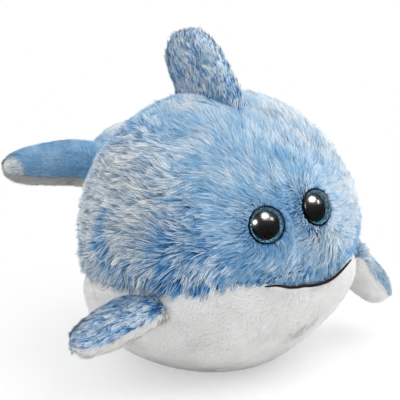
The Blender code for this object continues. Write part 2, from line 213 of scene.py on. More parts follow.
def body_tree(rows=60, columns=96):
    """The ball's fabric as a tree for nearest points."""
    turn, latitude = np.meshgrid(np.linspace(-180.0, 180.0, columns + 1),
                                 np.linspace(-89.9, 89.9, rows + 1))
    points = ball_points(turn, latitude, BODY_PILE).reshape(-1, 3)
    return BVHTree.FromPolygons([tuple(point) for point in points], grid_faces(rows, columns))


def direction(turn, latitude):
    across = math.cos(math.radians(latitude))
    return np.array((across * math.sin(math.radians(turn)),
                     -across * math.cos(math.radians(turn)), math.sin(math.radians(latitude))))


EYE_AXES = {"left": direction(FACE_TURN + EYE_TURN, EYE_LATITUDE + EYE_TILT),
            "right": direction(FACE_TURN - EYE_TURN, EYE_LATITUDE - EYE_TILT)}


def from_eyes(points):
    """Distance to the nearer eye's axis, and the direction away from it."""
    best = np.full(len(points), np.inf)
    away = np.zeros_like(points)
    for axis in EYE_AXES.values():
        offset = points - CENTRE
        ahead = (offset @ axis)[:, None]
        radial = offset - ahead * axis
        distance = np.linalg.norm(radial, axis=1)
        distance = np.where(ahead[:, 0] > 0.0, distance, np.inf)
        nearer = distance < best
        best[nearer] = distance[nearer]
        away[nearer] = radial[nearer]
    return best, unit(away)


def new_object(name, data):
    made = bpy.data.objects.new(name, data)
    bpy.context.scene.collection.objects.link(made)
    return made


def mesh_from(bm, name):
    mesh = bpy.data.meshes.new(name)
    bm.to_mesh(mesh)
    bm.free()
    mesh.shade_smooth()
    return mesh


def grid_faces(rows, columns):
    """Quads over points that are laid out row by row."""
    starts = [row * (columns + 1) + column for row in range(rows) for column in range(columns)]
    return [(start, start + 1, start + columns + 2, start + columns + 1) for start in starts]


def join_rings(bm, rings, sides):
    """Faces between rings that follow each other. A ring may be a single point."""
    for near, far in zip(rings, rings[1:]):
        for side in range(sides):
            following = (side + 1) % sides
            corners = [near[side % len(near)], near[following % len(near)],
                       far[following % len(far)], far[side % len(far)]]
            if len(set(corners)) > 2:
                bm.faces.new(list(dict.fromkeys(corners)))


def dress(piece, slot, material, *nodes):
    """What every piece of the toy needs."""
    piece.data.materials.clear()
    piece.data.materials.append(material)
    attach(piece, "root")
    if nodes:
        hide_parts(*nodes)
    return piece


def ball_skin(name, turns, low_is_seam, pile, columns=72, rows=44):
    """The fabric of one cover, from the seam to the top or to the foot. It goes under each
    eye's cup."""
    turn_row = np.linspace(turns[0], turns[1], columns + 1)
    seam = seam_latitude(turn_row)
    pole = 89.9 if low_is_seam else -89.9
    points = []
    for row in range(rows + 1):
        latitude = seam + (pole - seam) * (row / rows) ** 1.2
        points.append(ball_points(turn_row, latitude, skin_inset(turn_row, latitude, pile)))
    points = np.concatenate(points)
    if low_is_seam:
        distance, _ = from_eyes(points)
        pocket = 1.0 - ease(distance, EYE_RADIUS + 0.0002, EYE_RADIUS + 0.0022)
        sink = np.maximum(EYE_SEAT_DEPTH + 0.0007 - pile, 0.0)
        points = points - unit(points - CENTRE) * (pocket * sink)[:, None]
    mesh = bpy.data.meshes.new(name)
    mesh.from_pydata([tuple(point) for point in points], [], grid_faces(rows, columns))
    bm = bmesh.new()
    bm.from_mesh(mesh)
    bmesh.ops.remove_doubles(bm, verts=bm.verts, dist=0.00002)
    bmesh.ops.recalc_face_normals(bm, faces=bm.faces)
    lean = sum((face.normal.dot(face.calc_center_median() - Vector(CENTRE)) for face in bm.faces))
    if lean < 0.0:
        bmesh.ops.reverse_faces(bm, faces=bm.faces)
    bm.to_mesh(mesh)
    bm.free()
    mesh.shade_smooth()
    made = new_object(name, mesh)
    shell = made.modifiers.new("fabric", "SOLIDIFY")
    shell.thickness = SKIN_THICKNESS
    shell.offset = -1.0
    return made


# The lobes


def smooth_through(points, steps):
    rows = [np.array(point, float) for point in points]
    padded = [rows[0] * 2.0 - rows[1]] + rows + [rows[-1] * 2.0 - rows[-2]]
    curve = []
    for before, start, end, after in zip(padded, padded[1:], padded[2:], padded[3:]):
        for step in range(steps):
            t = step / steps
            bend = (before * -1.0 + start * 3.0 - end * 3.0 + after) * t ** 3
            lean = (before * 2.0 - start * 5.0 + end * 4.0 - after) * t ** 2
            curve.append(start + ((end - before) * t + lean + bend) * 0.5)
    curve.append(rows[-1])
    return curve


def lobe_mesh(name, sections, inset, both_ends=False, sides=40, steps=5):
    """A loft through elliptical sections: span along X, chord along Y, thickness along Z."""
    curve = smooth_through(sections, steps)
    if both_ends:
        curve = [row * (-1.0, 1.0, 1.0, 1.0) for row in reversed(curve[1:])] + curve
    root = 0.0 if both_ends else curve[0][0]
    reach = curve[-1][0] - root
    widest = max((row[2] - row[1]) / 2.0 for row in curve)
    thickest = max(row[3] for row in curve)
    shrink = (1.0 - inset / reach, 1.0 - inset / widest, 1.0 - inset / thickest)
    bm = bmesh.new()
    rings = []
    for span, low, high, half in curve:
        centre = (low + high) / 2.0
        chord = (high - low) / 2.0 * shrink[1]
        place = root + (span - root) * shrink[0]
        if chord < 1e-6:
            rings.append([bm.verts.new((place, centre, 0.0))])
            continue
        turns = [math.tau * (side + 0.5) / sides for side in range(sides)]
        rings.append([bm.verts.new((place, centre + chord * math.cos(turn),
                                    half * shrink[2] * math.sin(turn))) for turn in turns])
    join_rings(bm, rings, sides)
    if not both_ends:
        bm.faces.new(rings[0])
    bmesh.ops.recalc_face_normals(bm, faces=bm.faces)
    return mesh_from(bm, name)


def frame_from(origin, span, chord):
    x_axis = Vector(span).normalized()
    z_axis = x_axis.cross(Vector(chord)).normalized()
    y_axis = z_axis.cross(x_axis)
    made = Matrix((x_axis, y_axis, z_axis)).transposed().to_4x4()
    made.translation = origin
    return made


def fin_frame():
    origin = Vector(CENTRE) + Vector((0.0, FIN_SET_BACK, BALL_RADIUS))
    return frame_from(origin, (0.0, 0.0, 1.0), (0.0, 1.0, 0.0))


def flipper_frame(side, droop):
    heading = math.radians(FLIPPER_HEADING)
    drop = math.radians(droop)
    span = Vector((side * math.sin(heading) * math.cos(drop),
                   -math.cos(heading) * math.cos(drop), -math.sin(drop)))
    turn = np.array(side * FLIPPER_TURN)
    origin = Vector(ball_points(turn, seam_latitude(turn) - FLIPPER_BELOW_SEAM, 0.0))
    made = frame_from(origin, span, (0.0, -1.0, 0.0))
    return made @ Matrix.Rotation(-side * math.radians(FLIPPER_TWIST), 4, "X")


def tail_frame():
    rise = math.radians(TAIL_RISE)
    origin = Vector(ball_points(np.array(180.0), np.array(TAIL_LATITUDE), 0.0))
    origin.x = 0.0
    made = frame_from(origin, (1.0, 0.0, 0.0), (0.0, math.cos(rise), math.sin(rise)))
    made = made @ Matrix.Rotation(-math.radians(TAIL_ROLL), 4, "Y")
    return Matrix.Rotation(math.radians(TAIL_SWING), 4, "Z") @ made


FRAMES = {"fin": fin_frame(), "right_flipper": flipper_frame(-1.0, RIGHT_FLIPPER_DROOP),
          "left_flipper": flipper_frame(1.0, LEFT_FLIPPER_DROOP), "tail": tail_frame()}
STALK_TURN = Matrix.Rotation(math.pi / 2.0, 4, "Z")


def lobe_surface(key, inset):
    """The closed surface of a lobe in world coordinates."""
    if key == "tail":
        flukes = new_object("flukes_form", lobe_mesh("flukes", FLUKE_SECTIONS, inset, True))
        stalk_mesh = lobe_mesh("stalk", STALK_SECTIONS, inset)
        stalk_mesh.transform(STALK_TURN)
        stalk = new_object("stalk_form", stalk_mesh)
        join = flukes.modifiers.new("join", "BOOLEAN")
        join.operation = "UNION"
        join.solver = "EXACT"
        join.object = stalk
        smooth = flukes.modifiers.new("smooth", "SMOOTH")
        smooth.factor = 0.5
        smooth.iterations = 6
        graph = bpy.context.evaluated_depsgraph_get()
        mesh = bpy.data.meshes.new_from_object(flukes.evaluated_get(graph))
        bpy.data.objects.remove(flukes, do_unlink=True)
        bpy.data.objects.remove(stalk, do_unlink=True)
    else:
        sections = FIN_SECTIONS if key == "fin" else FLIPPER_SECTIONS
        mesh = lobe_mesh(key, sections, inset)
    return mesh


def inside_body(points, depth=0.0):
    """Whether each point lies deeper than that below the ball's fabric."""
    found = np.zeros(len(points), bool)
    for index, point in enumerate(points):
        place, normal, _, _ = BODY_TREE.find_nearest(Vector(point))
        found[index] = (Vector(point) - place).dot(normal) < -depth
    return found


def inside_lobe(points, key, room):
    """Whether each point lies inside a lobe, or closer to it than the room."""
    back = np.array(FRAMES[key].inverted())
    local = points @ back[:3, :3].T + back[:3, 3]
    shapes = [(FIN_SECTIONS if key == "fin" else FLIPPER_SECTIONS, local)]
    if key == "tail":
        turned = np.stack((local[:, 1], -local[:, 0], local[:, 2]), axis=1)
        shapes = [(FLUKE_SECTIONS, np.abs(local) * (1, 0, 0) + local * (0, 1, 1)),
                  (STALK_SECTIONS, turned)]
    found = np.zeros(len(points), bool)
    for sections, places in shapes:
        table = np.array(smooth_through(sections, 4))
        low = np.interp(places[:, 0], table[:, 0], table[:, 1])
        high = np.interp(places[:, 0], table[:, 0], table[:, 2])
        half = np.interp(places[:, 0], table[:, 0], table[:, 3])
        chord = (high - low) / 2.0 + room
        value = ((places[:, 1] - (low + high) / 2.0) / chord) ** 2
        value = value + (places[:, 2] / np.maximum(half + room, 1e-6)) ** 2
        within = (places[:, 0] > table[0, 0]) & (places[:, 0] < table[-1, 0] + room)
        found |= within & (value < 1.0)
    return found


def split_lobe(key, inset, names):
    """The two panels of a lobe as meshes: the +Z side first."""
    panels = []
    whole = lobe_surface(key, inset)
    for name, keep in zip(names, (1.0, -1.0)):
        bm = bmesh.new()
        bm.from_mesh(whole)
        bmesh.ops.bisect_plane(bm, geom=[*bm.verts, *bm.edges, *bm.faces], plane_co=(0, 0, 0),
                               plane_no=(0, 0, 1), dist=1e-7)
        bmesh.ops.triangulate(bm, faces=bm.faces)
        bm.normal_update()
        bm.transform(FRAMES[key])
        back = FRAMES[key].inverted()
        middles = {face: (back @ face.calc_center_median()).z * keep for face in bm.faces}
        centres = np.array([face.calc_center_median()[:] for face in bm.faces])
        deep = inside_body(centres, 0.003)
        drop = {face for face, low in zip(bm.faces, deep) if low or middles[face] < 0.0}
        bmesh.ops.delete(bm, geom=list(drop), context="FACES")
        panels.append(mesh_from(bm, name))
    return panels


# The pile: ribbons that taper from root to tip

# A ramp is read in 256 steps, so a tone nearer to 1 would take the next family's colour
TONE_CEILING = 0.98
TONE_ROOM = 0.004


def scatter_ball(count, seed):
    """Even places on the ball as turns and latitudes."""
    draw = np.random.default_rng(seed)
    index = np.arange(count) + 0.5
    height = 1.0 - 2.0 * index / count
    turn = np.degrees(index * math.pi * (3.0 - math.sqrt(5.0)) % math.tau) - 180.0
    wobble = np.degrees(math.sqrt(4.0 * math.pi / count)) * 0.45
    latitude = np.degrees(np.arcsin(height)) + draw.normal(0.0, wobble, count)
    latitude = np.clip(latitude, -89.5, 89.5)
    turn = turn + draw.normal(0.0, wobble, count) / np.cos(np.radians(latitude))
    return (turn + 180.0) % 360.0 - 180.0, latitude


def scatter_mesh(mesh, count, seed):
    """Even places on a triangle mesh, with normals."""
    draw = np.random.default_rng(seed)
    mesh.calc_loop_triangles()
    corners = np.empty(len(mesh.loop_triangles) * 3, np.int32)
    mesh.loop_triangles.foreach_get("vertices", corners)
    corners = corners.reshape(-1, 3)
    points = np.empty(len(mesh.vertices) * 3)
    normals = np.empty(len(mesh.vertices) * 3)
    mesh.vertices.foreach_get("co", points)
    mesh.vertices.foreach_get("normal", normals)
    points, normals = points.reshape(-1, 3), normals.reshape(-1, 3)
    a, b, c = (points[corners[:, k]] for k in range(3))
    area = np.linalg.norm(np.cross(b - a, c - a), axis=1)
    edges = np.cumsum(area)
    chosen = np.searchsorted(edges, (np.arange(count) + draw.random(count)) / count * edges[-1])
    chosen = np.minimum(chosen, len(corners) - 1)
    one, two = np.sqrt(draw.random(count)), draw.random(count)
    weights = np.stack((1.0 - one, one * (1.0 - two), one * two), axis=1)[..., None]
    trio = corners[chosen]
    return ((points[trio] * weights).sum(axis=1),
            unit((normals[trio] * weights).sum(axis=1)))


def turned_about(vectors, axes, angles):
    """Vectors turned about unit axes that are square to them."""
    return (vectors * np.cos(angles)[:, None]
            + np.cross(axes, vectors) * np.sin(angles)[:, None])


def tangent(vectors, normals):
    return unit(vectors - normals * (vectors * normals).sum(axis=1)[:, None])


def arcs(roots, normals, combs, lengths, lean, stations):
    """Points along each hair. lean holds each hair's angle at the root, its angle at the
    tip and how soon it bends from one to the other."""
    lift, lay, bend = lean
    steps = 12
    shares = (np.arange(steps) + 0.5) / steps
    angle = lay[:, None] + (lift - lay)[:, None] * (1.0 - shares) ** bend[:, None]
    still = np.zeros((len(roots), 1))
    ahead = np.concatenate((still, np.cumsum(np.cos(angle), axis=1)), axis=1) / steps
    above = np.concatenate((still, np.cumsum(np.sin(angle), axis=1)), axis=1) / steps
    places = []
    for station in stations:
        at = int(round(station * steps))
        run = (ahead[:, at] * lengths)[:, None]
        high = (above[:, at] * lengths)[:, None]
        sag = run ** 2 / (2.0 * BALL_RADIUS)
        places.append(roots + combs * run + normals * (high - sag * 0.6))
    return np.stack(places, axis=1)


def grow(name, roots, normals, combs, hair, look, seed):
    """One mesh of ribbons. hair holds an array or a number for each measure of the single
    hairs, and look holds what all of them share."""
    draw = np.random.default_rng(seed)
    count = len(roots)
    hair = {key: np.broadcast_to(np.asarray(value, float), count) for key, value in hair.items()}
    stations, taper = look["stations"], look["taper"]
    combs = turned_about(combs, normals, draw.normal(0.0, look["stray"], count))
    lift = np.radians(hair["lift"]) * draw.uniform(0.8, 1.2, count)
    lay = np.radians(hair["lay"] + look["lay_spread"] * draw.normal(0.0, 1.0, count))
    lines = arcs(roots, normals, combs, hair["length"], (lift, lay, hair["bend"]), stations)

    picked = draw.permutation(count)[: max(8, int(count * look["tuft_share"]))]
    few = len(picked)
    tuft_combs = turned_about(combs[picked], normals[picked],
                              draw.normal(0.0, look["tuft_stray"], few))
    tuft_lay = lay[picked] + np.radians(look["tuft_spread"] * draw.normal(0.0, 1.0, few))
    tuft_lines = arcs(roots[picked], normals[picked], tuft_combs,
                      hair["length"][picked] * draw.uniform(0.9, 1.15, few),
                      (lift[picked], tuft_lay, hair["bend"][picked]), stations)
    tree = KDTree(few)
    for index, root in enumerate(roots[picked]):
        tree.insert(root, index)
    tree.balance()
    nearest = np.array([tree.find(root)[1] for root in roots])
    pull = draw.uniform(0.4, 1.0, count) * hair["pull"]
    for number, station in enumerate(stations):
        share = (pull * station ** 1.2)[:, None]
        lines[:, number] += (tuft_lines[nearest, number] - lines[:, number]) * share
    tone = hair["tone"] + draw.normal(0.0, 1.0, few)[nearest] * hair["tuft_tone"]
    tones = (hair["family"] + np.clip(tone, 0.0, TONE_CEILING)) / look["families"]

    ways = unit(lines[:, 1] - lines[:, 0])
    sides = unit(np.cross(ways, normals))
    sides = turned_about(sides, ways, draw.uniform(-0.5, 0.5, count))
    last = len(stations) - 1
    points = []
    for number in range(last):
        half = (hair["width"] * taper[number] / 2.0)[:, None]
        points.append(lines[:, number] - sides * half)
        points.append(lines[:, number] + sides * half)
    points.append(lines[:, last])
    rows = np.stack(points, axis=1)
    per_hair = rows.shape[1]

    quads = [(2 * n, 2 * n + 1, 2 * n + 3, 2 * n + 2) for n in range(last - 1)]
    tip = (2 * last - 2, 2 * last - 1, 2 * last)
    base = np.arange(count)[:, None] * per_hair
    loops = np.concatenate([base + np.array(face)[None, :] for face in (*quads, tip)], axis=1)
    sizes = np.tile([4] * len(quads) + [3], count)
    starts = np.concatenate(([0], np.cumsum(sizes)[:-1]))

    mesh = bpy.data.meshes.new(name)
    mesh.vertices.add(count * per_hair)
    mesh.vertices.foreach_set("co", rows.reshape(-1))
    mesh.loops.add(loops.size)
    mesh.loops.foreach_set("vertex_index", loops.reshape(-1).astype(np.int32))
    mesh.polygons.add(len(sizes))
    mesh.polygons.foreach_set("loop_start", starts.astype(np.int32))
    mesh.update(calc_edges=True)

    along = [stations[n // 2] for n in range(2 * last)] + [1.0]
    spread = [(-1.0, 1.0)[n % 2] for n in range(2 * last)] + [0.0]
    store_tones(mesh, tones, np.array(along), np.array(spread), loops)
    fuzz = draw.normal(0.0, 1.0, (count, 3)) * hair["fuzz"][:, None]
    shade = np.repeat(unit(normals + fuzz), per_hair, axis=0)
    mesh.shade_smooth()
    mesh.normals_split_custom_set_from_vertices([tuple(row) for row in shade])
    return new_object(name, mesh)


def store_tones(mesh, tones, along, spread, loops):
    """Writes each hair's tone and the place along it, as attributes and as a UV map named OFBake.
    """
    per_hair = len(along)
    tone_at = np.repeat(tones, per_hair)
    along_at = np.tile(along, len(tones))
    for title, values in (("tone", tone_at), ("along", along_at)):
        layer = mesh.attributes.new(title, "FLOAT", "POINT")
        layer.data.foreach_set("value", values.astype(np.float32))
    across = 0.01 + tone_at * 0.98 + np.tile(spread, len(tones)) * TONE_ROOM
    chart = np.stack((across, 0.01 + along_at * 0.98), axis=1)[loops.reshape(-1)]
    layer = mesh.uv_layers.new(name="OFBake")
    layer.data.foreach_set("uv", chart.astype(np.float32).reshape(-1))


# Materials


def new_material(name):
    material = bpy.data.materials.new(name)
    material.use_nodes = True
    nodes = material.node_tree.nodes
    return material, nodes, material.node_tree.links, nodes["Principled BSDF"]


def set_inputs(node, values):
    for key, value in values.items():
        node.inputs[key].default_value = value


def add_node(nodes, kind, inputs=None, **values):
    node = nodes.new(kind)
    for key, value in values.items():
        setattr(node, key, value)
    set_inputs(node, inputs or {})
    return node


def add_math(nodes, links, operation, *terms, **values):
    """A calculation with sockets or numbers as its terms."""
    node = add_node(nodes, "ShaderNodeMath", operation=operation, **values)
    for place, term in zip(node.inputs, terms):
        if isinstance(term, bpy.types.NodeSocket):
            links.new(term, place)
        else:
            place.default_value = term
    return node.outputs[0]


def add_bump(nodes, links, height, strength, depth, shader):
    relief = add_node(nodes, "ShaderNodeBump", {"Strength": strength, "Distance": depth})
    links.new(height, relief.inputs["Height"])
    links.new(relief.outputs[0], shader.inputs["Normal"])


def mix_shaders(nodes, links, share, first, second, surface):
    mix = nodes.new("ShaderNodeMixShader")
    links.new(share, mix.inputs[0])
    links.new(first.outputs[0], mix.inputs[1])
    links.new(second.outputs[0], mix.inputs[2])
    links.new(mix.outputs[0], surface)


def seen_directly(nodes, links):
    """1 for the rays that see the backdrop, and 0 for the rays that only gather light."""
    path = nodes.new("ShaderNodeLightPath").outputs
    seen = add_math(nodes, links, "MAXIMUM", path["Is Camera Ray"], path["Is Glossy Ray"])
    return add_math(nodes, links, "MAXIMUM", seen, path["Is Transmission Ray"])


def add_ramp(nodes, stops):
    ramp = nodes.new("ShaderNodeValToRGB")
    elements = ramp.color_ramp.elements
    while len(elements) < len(stops):
        elements.new(0.5)
    for element, (place, colour) in zip(elements, stops):
        element.position = place
        element.color = (*colour, 1.0)
    return ramp


def mix_colours(nodes, links, factor, first, second):
    mix = add_node(nodes, "ShaderNodeMix", data_type="RGBA")
    links.new(factor, mix.inputs[0])
    links.new(first, mix.inputs[6])
    links.new(second, mix.inputs[7])
    return mix.outputs[2]


def pile_material(name, families, lit_outward=False):
    """Hair coloured by its tone and by the place along it. Each family of tones takes an
    equal share of the tone's range, with its own colours for root, middle and tip. Hair that
    is lit outward takes the light of the skin's outside on both its faces."""
    material, nodes, links, shader = new_material(name)
    tone = add_node(nodes, "ShaderNodeAttribute", attribute_name="tone").outputs["Fac"]
    along = add_node(nodes, "ShaderNodeAttribute", attribute_name="along").outputs["Fac"]
    share = 1.0 / len(families)
    ramps = []
    for zone in range(3):
        stops = [((number + place * 0.999) * share, colour)
                 for number, family in enumerate(families) for place, colour in family[zone]]
        ramp = add_ramp(nodes, stops)
        links.new(tone, ramp.inputs[0])
        ramps.append(ramp.outputs[0])
    colour = ramps[0]
    for (low, high), following in zip(ZONE_EDGES, ramps[1:]):
        reach = add_node(nodes, "ShaderNodeMapRange", {"From Min": low, "From Max": high},
                         interpolation_type="SMOOTHSTEP")
        links.new(along, reach.inputs["Value"])
        colour = mix_colours(nodes, links, reach.outputs[0], colour, following)
    links.new(colour, shader.inputs["Base Color"])
    set_inputs(shader, {"Roughness": 0.9, "Specular IOR Level": 0.02})
    if lit_outward:
        side = nodes.new("ShaderNodeNewGeometry").outputs
        turned = add_math(nodes, links, "MULTIPLY_ADD", side["Backfacing"], -2.0, 1.0)
        outward = add_node(nodes, "ShaderNodeVectorMath", operation="SCALE")
        links.new(side["Normal"], outward.inputs[0])
        links.new(turned, outward.inputs["Scale"])
        links.new(outward.outputs["Vector"], shader.inputs["Normal"])
    return material


def grained_material(name, grain, first, second, edges=(0.3, 0.7), detail=2.0, roughness=0.5,
                     specular=0.5, relief=None):
    """Two close colours in fine grains. relief is a bump's strength and depth."""
    material, nodes, links, shader = new_material(name)
    place = nodes.new("ShaderNodeTexCoord")
    noise = add_node(nodes, "ShaderNodeTexNoise", {"Scale": grain, "Detail": detail})
    links.new(place.outputs["Object"], noise.inputs["Vector"])
    ramp = add_ramp(nodes, tuple(zip(edges, (first, second))))
    links.new(noise.outputs["Fac"], ramp.inputs[0])
    links.new(ramp.outputs[0], shader.inputs["Base Color"])
    if relief:
        add_bump(nodes, links, noise.outputs["Fac"], *relief, shader)
    set_inputs(shader, {"Roughness": roughness, "Specular IOR Level": specular})
    return material


def fabric_material(name, first, second):
    """Knitted backing under the pile, and the fibre fill."""
    return grained_material(name, 900.0, first, second, edges=(0.35, 0.65), roughness=0.95,
                            specular=0.1, relief=(0.4, 0.0004))


# Where the root's colour turns to the middle's, and the middle's to the tip's
ZONE_EDGES = ((0.05, 0.50), (0.50, 0.95))
FROSTED_BLUE = (((0.0, (0.010, 0.095, 0.310)), (1.0, (0.040, 0.190, 0.450))),
                ((0.0, (0.020, 0.155, 0.420)), (0.5, (0.125, 0.350, 0.640)),
                 (1.0, (0.550, 0.710, 0.860))),
                ((0.0, (0.055, 0.270, 0.580)), (0.5, (0.450, 0.660, 0.870)),
                 (1.0, (0.985, 0.990, 0.995))))
FLANK_GREY = (((0.0, (0.025, 0.095, 0.220)), (1.0, (0.150, 0.250, 0.350))),
              ((0.0, (0.055, 0.160, 0.290)), (0.5, (0.260, 0.370, 0.460)),
               (1.0, (0.680, 0.740, 0.760))),
              ((0.0, (0.130, 0.260, 0.400)), (0.5, (0.590, 0.650, 0.690)),
               (1.0, (0.985, 0.985, 0.975))))
SMOOTH_BLUE = (((0.0, (0.040, 0.180, 0.420)), (1.0, (0.400, 0.560, 0.700))),
               ((0.0, (0.065, 0.245, 0.520)), (0.5, (0.220, 0.450, 0.690)),
                (1.0, (0.660, 0.770, 0.850))),
               ((0.0, (0.130, 0.320, 0.570)), (0.5, (0.360, 0.560, 0.750)),
                (1.0, (0.860, 0.900, 0.930))))
WHITE = (((0.0, (0.600, 0.597, 0.582)), (1.0, (0.760, 0.755, 0.738))),
         ((0.0, (0.690, 0.686, 0.670)), (1.0, (0.840, 0.835, 0.818))),
         ((0.0, (0.730, 0.726, 0.710)), (1.0, (0.880, 0.875, 0.858))))
# Painted shade: a darker, greyer copy of the white for the tail's underside, which faces down
# into shade
PAINTED_SHADE_WHITE = (((0.0, (0.400, 0.400, 0.385)), (1.0, (0.520, 0.518, 0.500))),
                ((0.0, (0.450, 0.448, 0.432)), (1.0, (0.590, 0.586, 0.570))),
                ((0.0, (0.500, 0.497, 0.480)), (1.0, (0.680, 0.676, 0.660))))
FROSTED, GREY, SMOOTH = 0, 1, 2
UNSHADED, PAINTED_SHADE = 0, 1

BLUE_PILE = pile_material("blue_pile", (FROSTED_BLUE, FLANK_GREY, SMOOTH_BLUE), lit_outward=True)
WHITE_PILE = pile_material("white_pile", (WHITE, PAINTED_SHADE_WHITE))
BLUE_FABRIC = fabric_material("blue_backing", (0.020, 0.110, 0.320), (0.040, 0.160, 0.400))
WHITE_FABRIC = fabric_material("white_backing", (0.700, 0.697, 0.682), (0.780, 0.777, 0.760))
BLUE_CLOTH = ("blue_plush", BLUE_FABRIC, BLUE_PILE)
WHITE_CLOTH = ("white_plush", WHITE_FABRIC, WHITE_PILE)


# The covers of the ball


def picture_axes():
    """The camera's back, right and up directions."""
    turn, rise = math.radians(CAMERA_TURN), math.radians(CAMERA_RISE)
    back = np.array((math.sin(turn) * math.cos(rise), -math.cos(turn) * math.cos(rise),
                     math.sin(rise)))
    right = np.array((math.cos(turn), math.sin(turn), 0.0))
    return back, right, np.cross(back, right)


def bump(turn, latitude, at, spread):
    """A round hill of height 1 on the ball, at a turn and a latitude."""
    return np.exp(-((turn - at[0]) / spread[0]) ** 2 - ((latitude - at[1]) / spread[1]) ** 2)


def picture_place(pixel):
    """The place on the ball, as a unit direction, that the picture shows at a pixel."""
    back, right, up = picture_axes()
    radius = BALL_RADIUS * PIXELS_PER_METRE
    across = (pixel[0] - CENTRE_PIXEL[0]) / radius
    rise = (CENTRE_PIXEL[1] - pixel[1]) / radius
    ahead = math.sqrt(max(1.0 - across ** 2 - rise ** 2, 0.0))
    return right * across + up * rise + back * ahead


def hill(place, pixel, spread):
    """1 at the place that the picture shows at a pixel, falling to 0 around it."""
    distance = ((place - picture_place(pixel)) ** 2).sum(axis=1)
    return np.exp(-distance / spread ** 2)


def tone_patches(place):
    """Where the pile is paler or deeper than the rest, in small soft patches. The deep patch
    before the fin is painted shade of the crease there.
    """
    tone = np.zeros(len(place))
    for pixel, spread, change in TONE_PATCHES:
        tone += change * hill(place, pixel, spread)
    return tone


def body_comb(points, normals, turn, latitude):
    """Which way the pile is brushed: back from the nose, down over the seam, across the
    muzzle and out from the eyes, but over the far eye's inner edge, with small drifts."""
    to_seam = np.radians(latitude - seam_latitude(turn)) * BALL_RADIUS
    way = np.tile((0.0, 1.0, 0.0), (len(points), 1))
    high = (points[:, 2] - CENTRE_HEIGHT) / BALL_RADIUS
    way[:, 2] -= SIDE_FALL * (1.0 - ease(high, 0.45, 0.85))
    way[:, 2] -= SEAM_FALL * beside_mouth(turn) * np.exp(-(to_seam / 0.010) ** 2)
    _, right, up = picture_axes()
    face = MUZZLE_SWEEP * hill(unit(points - CENTRE), MUZZLE_PIXEL, 0.42)[:, None]
    way = way * (1.0 - face) - (right * 0.85 + up * 0.50) * face
    comb = tangent(way, normals)
    drift = 0.45 * waves(points, 0.036, 11) + 0.30 * waves(points, 0.014, 12)
    comb = turned_about(comb, normals, drift)
    distance, away = from_eyes(points)
    near_eye = EYE_SWEEP * (1.0 - ease(distance, EYE_RADIUS, EYE_RADIUS + 0.0060))[:, None]
    over_far_eye = np.clip(-(away @ right), 0.0, 1.0) * (points[:, 0] > 0.0)
    near_eye *= 1.0 - FAR_EYE_TURN * over_far_eye[:, None]
    return tangent(comb * (1.0 - near_eye) + away * near_eye, normals)


HAIR_LOOK = {"stray": 0.16, "lay_spread": 5.0, "tuft_share": 0.07, "tuft_stray": 0.25,
             "tuft_spread": 7.0, "stations": (0.0, 5.0 / 12.0, 1.0), "taper": (1.0, 0.85),
             "families": 3}
SHORT_LOOK = dict(HAIR_LOOK, stray=0.35, lay_spread=3.0, tuft_share=0.12, tuft_stray=0.3,
                  tuft_spread=3.0, families=2)

# How far the comb falls to the ground on the sides and at the seam, and how far it turns
# across the muzzle and out from the eyes
SIDE_FALL = 0.32
SEAM_FALL = 1.1
MUZZLE_SWEEP = 0.85
EYE_SWEEP = 0.62
FAR_EYE_TURN = 1.5

# The middle of the calmest pile and of the muzzle, and the way to the side that lies smooth
CALM_PIXEL = (305, 125)
MUZZLE_PIXEL = (292, 258)
SMOOTH_SIDE = unit(np.array((0.71, -0.28, 0.42)))
BALL_HAIRS = 208000
BELLY_HAIRS = 150000

# Deep places on the right side: turn and latitude, and the spread of both
DEEP_BAND = ((-54.0, 6.0), (8.0, 17.0))
FLANK_PATCH = ((-87.0, 9.0), (5.0, 11.0))
LOW_PATCH = ((-76.0, -2.0), (7.0, 6.0))

# Pixel, spread in ball radii and change of tone of each patch: beside and before the fin,
# five on the flank, above the flipper, at the seam, behind the mouth, between the eyes, on
# the muzzle and at the flank's rear. The patch before the fin is painted shade: the dark of
# the crease at the fin's front, put into the pile's tone
TONE_PATCHES = (((197, 106), 0.14, 0.45), ((226, 98), 0.10, -0.60), ((136, 160), 0.26, 0.34),
                ((136, 262), 0.12, 0.22), ((122, 196), 0.16, 0.14), ((107, 232), 0.10, -0.35),
                ((150, 240), 0.09, -0.20), ((172, 268), 0.12, -0.16), ((188, 280), 0.07, 0.30),
                ((244, 262), 0.14, -0.18), ((293, 205), 0.14, -0.35), ((315, 250), 0.20, 0.16),
                ((90, 215), 0.22, 0.26))

# The ball's tone before its patches, what its waves and its places add, and its spread
TONE = {"base": 0.45, "waves": 0.13, "pale": 0.32, "top": 0.14, "behind": 0.14, "band": -0.30,
        "patches": -0.18}
TONE_SPREAD = {"ruffled": 0.38, "muzzle": 0.22, "smooth": 0.13, "calm": 0.03}

# The ball's blue hair where it is ruffled, smooth and calm. Lift and lay are its angles at
# the root and at the tip
RUFFLED = {"width": 0.00047, "lift": 56.0, "lay": 13.0, "bend": 1.3, "pull": 0.78,
           "tuft_tone": 0.30, "fuzz": 0.20}
SMOOTHED = {"width": 0.00042, "lift": 62.0, "lay": 6.0, "bend": 2.6, "pull": 0.50,
            "tuft_tone": 0.10, "fuzz": 0.07}
CALMED = dict(SMOOTHED, tuft_tone=0.03, fuzz=0.03)
LENGTH, CALM_LENGTH = 0.0076, 0.0060
EYE_LIFT, EYE_LAY, BEHIND_LIFT = 68.0, 30.0, 26.0


# How far inside a lobe the ball's hairs still stand, how low, and how many are left out
# where the pile is ruffled
LOBE_ROOM = -0.0015
LOWEST_ROOT = 0.0013
ROUGH_THINNING = 0.35
BELLY_HAIR = {"family": UNSHADED, "tuft_tone": 0.03, "fuzz": 0.01, "width": 0.00044, "lift": 36.0,
              "lay": 7.0, "bend": 2.0, "pull": 0.0}
BELLY_LENGTH = 0.0023


